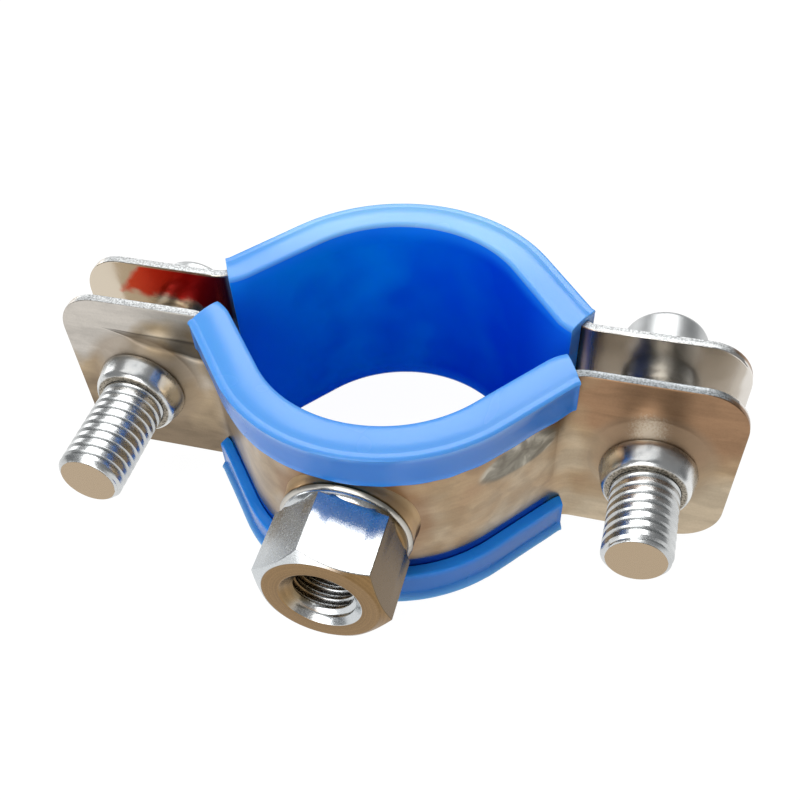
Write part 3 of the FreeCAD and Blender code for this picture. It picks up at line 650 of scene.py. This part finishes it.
def nut_weld():
    """The low ring of metal pressed out between the nut's seat and the round band."""
    ring = []
    for i in range(WELD_COLUMNS):
        angle = TURN * i / WELD_COLUMNS
        lump = 0.06 * ripple((8 * cos(angle), 0, 8 * sin(angle)), 2.0, 3.1)
        band_front = -sqrt((PIPE_SIDE + SHEET) ** 2 - (7.9 * cos(angle)) ** 2)
        halfway = band_front * 0.5 + (NUT_BACK + 0.8) * 0.5
        profile = [(NUT_BACK + 0.03, 5.5), (NUT_BACK + 0.03, 7.38),
                   (NUT_BACK + 0.08, 7.55 + lump / 2), (NUT_BACK + 0.24, 7.78 + lump),
                   (NUT_BACK + 0.44, 7.88 + lump), (NUT_BACK + 0.52, 7.78 + lump),
                   (NUT_BACK + 0.62, 7.80 + lump), (NUT_BACK + 0.80, 7.88), (halfway, 7.90),
                   (band_front - 0.15, 7.95), (band_front + 0.20, 8.10), (band_front + 0.6, 8.1)]
        ring.append([nut_at(height, radius, angle) for height, radius in profile])
    points, faces = around(ring)
    solid_from("nut_weld_upset", points, faces, [weld_steel], "front_half",
               "nut_weld", 50.0)


mounting_nut()
nut_weld()


# ---------------------------------------------------------------- rubber liners

WALL_FACES = 5              # faces from the middle of the wall's pipe side to a rim


def plan_stations():
    """Points along one half's band, seen along the pipe, each with the direction away from the
    pipe."""
    arc_steps, straight_steps, bend_steps = 34, 10, 8
    bend_followed = radians(24.0)
    right = []
    for i in range(1, arc_steps + 1):
        angle = ARC_HALF_ANGLE * i / arc_steps
        out = Vector((sin(angle), -cos(angle)))
        right.append((PIPE_SIDE * out, out))
    out = Vector((sin(ARC_HALF_ANGLE), -cos(ARC_HALF_ANGLE)))
    ahead = Vector((cos(ARC_HALF_ANGLE), sin(ARC_HALF_ANGLE)))
    for i in range(1, straight_steps + 1):
        right.append((PIPE_SIDE * out + STRAIGHT * i / straight_steps * ahead, out))
    middle = (PIPE_SIDE + BEND_OUT) * out + STRAIGHT * ahead
    for i in range(1, bend_steps + 1):
        angle = ARC_HALF_ANGLE - bend_followed * i / bend_steps
        turned = Vector((sin(angle), -cos(angle)))
        right.append((middle - BEND_OUT * turned, turned))
    left = [(Vector((-p.x, p.y)), Vector((-n.x, n.y))) for p, n in reversed(right)]
    return left + [(Vector((0.0, -PIPE_SIDE)), Vector((0.0, -1.0)))] + right


def liner_section(bead):
    """Half of the channel's outline, from the middle of its pipe side round to the middle of its
    seat. Each point is (distance away from the pipe, height). The bead is how far the outer rim
    stands out."""
    top, end = LINER_TOP, LIP_END
    wall, seat, outside, lip_in = -2.1, -0.1, 2.7, 1.22
    rim = outside + bead
    return [(wall, 0.0), (wall, 3.0), (wall, 6.0), (wall, 9.0), (wall, 11.5), (wall, top - 0.55),
            (wall + 0.05, top - 0.34), (wall + 0.20, top - 0.22), (wall + 0.55, top - 0.12),
            (wall + 1.2, top - 0.03), (wall + 2.0, top), (wall + 2.8, top - 0.04),
            (rim - 1.35, top - 0.13), (rim - 1.0, top - 0.24), (rim - 0.85, top - 0.25),
            (rim - 0.40, top - 0.22), (rim - 0.15, top - 0.28), (rim, top - 0.48),
            (rim, top - 0.75), (outside + bead * 0.5, top - 1.0), (outside, top - 1.2),
            (outside, 11.0), (outside, 9.6), (outside, end + 0.35), (outside - 0.09, end + 0.12),
            (outside - 0.28, end + 0.02), (lip_in + 0.45, end - 0.06),
            (lip_in + 0.08, end - 0.08), (lip_in, end + 0.05), (lip_in, 10.5), (lip_in, 12.6),
            (seat, 12.6), (seat, 8.0), (seat, 0.0)]


def liner(name, rear, body):
    """A channel that follows its half's band. Its outside and lips are slightly uneven, and the
    front one's rims have thin beads."""
    upper_bead, lower_bead = (0.0, 0.0) if rear else (0.12, 0.55)
    below = reversed(liner_section(lower_bead)[1:-1])
    section = liner_section(upper_bead) + [(d, -z) for d, z in below]
    stations = plan_stations()
    rows = len(section)
    points = []
    for place, out in stations:
        for d, z in section:
            x, y = place + d * out
            outside = max(0.0, (d - 1.3) / 1.4)
            lip = outside * max(0.0, 1 - abs(abs(z) - LIP_END) / 1.5)
            side = 1 if z > 0 else -1
            z += side * lip * 0.14 * ripple((x, y, z), 2.4, 1.7)
            shy = outside * 0.10 * (ripple((x, y, z), 6.0, 4.2) - 1.0)
            x, y = place + (d + shy * (1 if abs(z) < LINER_TOP - 0.5 else 0)) * out
            if rear:
                x, y = -x, REAR_SHIFT - y
            points.append((x, y, z))
    faces, finishes = [], []
    for i in range(len(stations) - 1):
        for j in range(rows):
            after = (j + 1) % rows
            finishes.append(1 if j < WALL_FACES or j >= rows - WALL_FACES else 0)
            faces.append((i * rows + j, i * rows + after,
                          (i + 1) * rows + after, (i + 1) * rows + j))
    faces.append(tuple(range(rows)))
    last = (len(stations) - 1) * rows
    faces.append(tuple(last + j for j in reversed(range(rows))))
    piece = solid_from(name + "_extruded", points, faces, [rubber, pipe_side_rubber], body,
                       name, 42.0, finishes + [0, 0])
    break_edges(piece, "cut_ends", 0.14, 2, 60.0)


liner("front_liner", False, "front_half")
liner("rear_liner", True, "rear_half")


# ---------------------------------------------------------------- stamped bands

for node, steel in (("front_band", sheet_steel), ("rear_band", marked_steel)):
    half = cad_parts[node]
    half.data.materials.clear()
    half.data.materials.append(steel)
    joined = half.modifiers.new("joined", "WELD")
    joined.merge_threshold = 0.002 * MM
    break_edges(half, "broken_edges", 0.16, 3, 30.0)
    even = half.modifiers.new("even_shading", "WEIGHTED_NORMAL")
    even.keep_sharp = True


def collar_ring(name, side):
    """The burnished end of a collar: it tapers from a small undercut to the torn rim round the
    screw."""
    profile = [(-4.42, 5.30), (-4.42, 5.60), (-4.47, 5.68), (-4.58, 5.71), (-5.2, 5.58),
               (-5.85, 5.43), (-6.5, 5.26), (-6.75, 5.20), (-7.0, 5.10), (-7.2, 4.96),
               (-7.36, 4.78), (-7.45, 4.60), (-7.48, 4.46), (-7.48, 4.06), (-7.20, 4.02)]
    columns, cone_from, rim_from = 120, -4.45, -7.4
    ring = []
    for i in range(columns):
        angle = TURN * i / columns
        lump = 0.035 * ripple((5 * cos(angle), 7 * side, 5 * sin(angle)), 1.5, 2.6)
        column = []
        for height, radius in profile:
            swell = lump if rim_from < height < cone_from else 0.0
            tear = abs(lump) if height < rim_from else 0.0
            column.append((side * SCREW_OUT + (radius + swell) * sin(angle), height - tear,
                           (radius + lump) * cos(angle)))
        ring.append(column)
    points, faces = around(ring)
    solid_from(name, points, faces, [collar_steel], "front_half", None, 40.0)


collar_ring("left_collar_reamed", -1)
collar_ring("right_collar_reamed", 1)


# ---------------------------------------------------------------- camera

az, el, roll = radians(17.455143), radians(50.193382), radians(-3.451751)
camera_place = Vector((26.13692796, -82.78054579, 90.28209812)) * MM
forward = Vector((-sin(az) * cos(el), cos(az) * cos(el), -sin(el)))
level_right = Vector((cos(az), sin(az), 0.0))
level_up = level_right.cross(forward)
right = cos(roll) * level_right + sin(roll) * level_up
up = cos(roll) * level_up - sin(roll) * level_right
camera = bpy.data.objects.new("camera", bpy.data.cameras.new("camera"))
camera.matrix_world = (Matrix.Translation(camera_place)
                       @ Matrix((right, up, -forward)).transposed().to_4x4())
camera.data.lens = 44.6451
camera.data.sensor_width = 36.0
camera.data.shift_x = 0.0035355
camera.data.shift_y = 0.0911893
camera.data.clip_start = 0.01
camera.data.clip_end = 50.0
bpy.context.scene.collection.objects.link(camera)
bpy.context.scene.camera = camera


# ---------------------------------------------------------------- floor, lamps and world

def studio_white():
    """Pale board: it takes the lamps' light and the object's shadow, and shows white to the
    camera and in the metal."""
    material = bpy.data.materials.new("pale_board")
    material.use_nodes = True
    tree = material.node_tree
    tree.nodes.clear()
    board = add(tree, "BsdfDiffuse", {"Color": srgb("#E4E3E1")})
    path = add(tree, "LightPath").outputs
    seen = add(tree, "Math", {0: path["Is Camera Ray"], 1: path["Is Glossy Ray"]}, **LARGER)
    shown = add(tree, "Math", {0: seen, 1: path["Is Transmission Ray"]}, **LARGER)
    glow = add(tree, "Emission", {"Strength": 1.10})
    share = add(tree, "Math", {0: shown, 1: 0.88}, **TIMES)
    add(tree, "OutputMaterial", {"Surface": add(tree, "MixShader", {0: share, 1: board, 2: glow})})
    return material


floor_mesh = bpy.data.meshes.new("floor")
reach, ground = 3.0, -(LINER_TOP + 0.02) * MM
floor_mesh.from_pydata([(-reach, -reach, ground), (reach, -reach, ground),
                        (reach, reach, ground), (-reach, reach, ground)], [], [(0, 1, 2, 3)])
floor_mesh.materials.append(studio_white())
floor_board = bpy.data.objects.new("floor", floor_mesh)
bpy.context.scene.collection.objects.link(floor_board)


def softbox(name, towards, width, height, watts):
    """A rectangular lamp 0.6 m from the object in that direction, facing it."""
    lamp = bpy.data.lights.new(name, "AREA")
    lamp.shape = "RECTANGLE"
    lamp.size, lamp.size_y = width, height
    lamp.energy = watts
    light = bpy.data.objects.new(name, lamp)
    place = Vector(towards).normalized() * 0.60
    light.location = place
    light.rotation_euler = (-place).to_track_quat("-Z", "Y").to_euler()
    bpy.context.scene.collection.objects.link(light)


softbox("back_softbox", (-0.07, 0.68, 0.73), 0.46, 0.38, 2.3)
softbox("top_softbox", (-0.22, 0.16, 0.96), 0.60, 0.46, 0.75)
softbox("front_softbox", (-0.16, -0.88, 0.38), 0.36, 0.60, 2.10)
softbox("left_softbox", (-0.85, 0.50, 0.14), 0.40, 0.26, 0.80)

world = bpy.data.worlds.new("studio")
world.use_nodes = True
bpy.context.scene.world = world
sky = world.node_tree.nodes["Background"]
sky.inputs["Color"].default_value = srgb("#F4F6F8")
sky.inputs["Strength"].default_value = 0.28

bpy.context.scene.view_settings.view_transform = "Standard"
